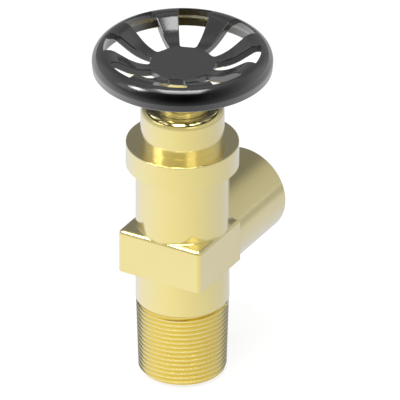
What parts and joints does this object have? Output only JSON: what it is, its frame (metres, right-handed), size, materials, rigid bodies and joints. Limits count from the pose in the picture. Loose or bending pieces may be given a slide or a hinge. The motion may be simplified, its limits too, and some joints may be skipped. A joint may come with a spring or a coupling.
{
  "type": "drain valve",
  "caption": "Brass angle drain valve with a tapered pipe thread below, a wrench block, a threaded side outlet, a screwed bonnet with a gland and a black dished handwheel.",
  "frame": {"origin": "centre of the inlet end, on the stem's axis", "axes": "+Z along the stem from the inlet to the handwheel, +Y along the outlet"},
  "size_m": [0.0828, 0.0984, 0.1677],
  "materials": {
    "cast_brass": "bead-blasted, satin",
    "turned_brass": "turned, bright",
    "black_wheel": "glossy",
    "rubber": "matt",
    "packing": "matt",
    "fibre": "matt",
    "steel": "satin"
  },
  "bodies": {
    "valve_body": {"inlet_thread": "cast_brass", "body": "cast_brass", "seat_ring": "turned_brass", "bonnet": "turned_brass", "bonnet_gasket": "fibre", "packing_washer": "turned_brass", "packing_ring_1": "packing", "packing_ring_2": "packing", "packing_ring_3": "packing", "gland_follower": "turned_brass", "gland_nut": "turned_brass", "wiper_ring": "rubber"},
    "plug": {"disc_holder": "turned_brass", "holder_nut": "turned_brass", "seat_disc": "rubber", "disc_washer": "steel", "lock_washer": "steel", "disc_screw": "steel"},
    "spindle": {"stem": "turned_brass", "handwheel": "black_wheel", "wheel_bush": "turned_brass", "set_screw": "steel"}
  },
  "joints": [
    {"name": "plug_lift", "type": "slide", "parent": "valve_body", "child": "plug", "axis": [0, 0, 1], "range_m": [0, 0.0105]},
    {"name": "wheel_turn", "type": "hinge", "parent": "plug", "child": "spindle", "pos_m": [0, 0, 0], "axis": [0, 0, 1], "range_deg": [0, 1260]}
  ],
  "couplings": [
    {"joint": "wheel_turn", "follows": "plug_lift", "rad_per_m": 2094.4}
  ]
}
